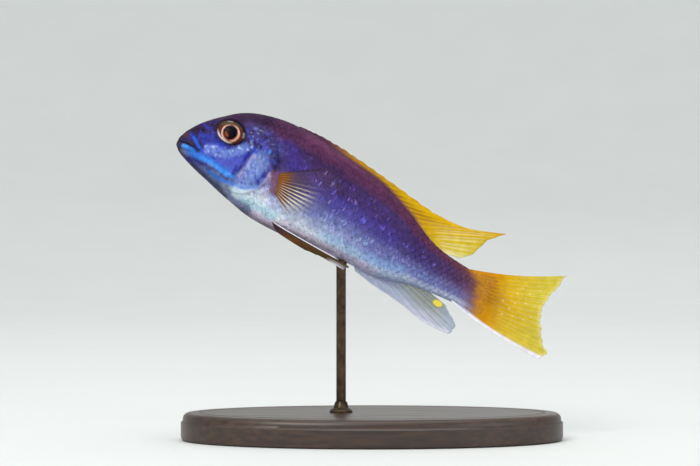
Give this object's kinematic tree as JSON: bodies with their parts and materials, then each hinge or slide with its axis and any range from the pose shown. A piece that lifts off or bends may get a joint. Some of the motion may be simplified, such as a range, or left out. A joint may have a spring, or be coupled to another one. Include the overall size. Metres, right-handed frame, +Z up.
{
  "type": "acei cichlid model",
  "caption": "Life-size model of a violet and yellow acei cichlid swimming nose up, held by an upright rod on an oval base.",
  "frame": {"origin": "centre of the underside of the stand's base, under the middle of the model's length", "axes": "+Z up, -X towards the snout, +X towards the tail, -Y to the fish's left side"},
  "size_m": [0.1127, 0.056, 0.0942],
  "materials": {
    "head_skin": "smooth wet skin, dark violet above and royal blue on the cheeks",
    "gill_skin": "smooth wet skin, pale lavender blue",
    "eye": "clear glossy cornea over a dark pupil and a copper iris",
    "flank_skin": "scaled skin, plum on the back, violet on the flank, silver blue on the belly",
    "yellow_fin": "ray-ribbed fin membrane, golden yellow",
    "pale_fin": "ray-ribbed fin membrane, pale blue grey",
    "clear_fin": "thin clear membrane between pale rays, brown at the root",
    "pelvic_fin": "ray-ribbed fin membrane, brown violet with a pale leading edge",
    "stand_wood": "dark stained wood, satin",
    "stand_bronze": "dark patinated rod"
  },
  "bodies": {
    "root": {"head": "head_skin", "lower_jaw": "head_skin", "gill_cover_left": "gill_skin", "gill_cover_right": "gill_skin", "eye_left": "eye", "eye_right": "eye", "trunk": "flank_skin", "tail_stalk": "flank_skin", "dorsal_fin": "yellow_fin", "caudal_fin": "yellow_fin", "anal_fin": "pale_fin", "pectoral_fin_left": "clear_fin", "pectoral_fin_right": "clear_fin", "pelvic_fin_left": "pelvic_fin", "pelvic_fin_right": "pelvic_fin", "stand_base": "stand_wood", "stand_rod": "stand_bronze"}
  },
  "joints": []
}
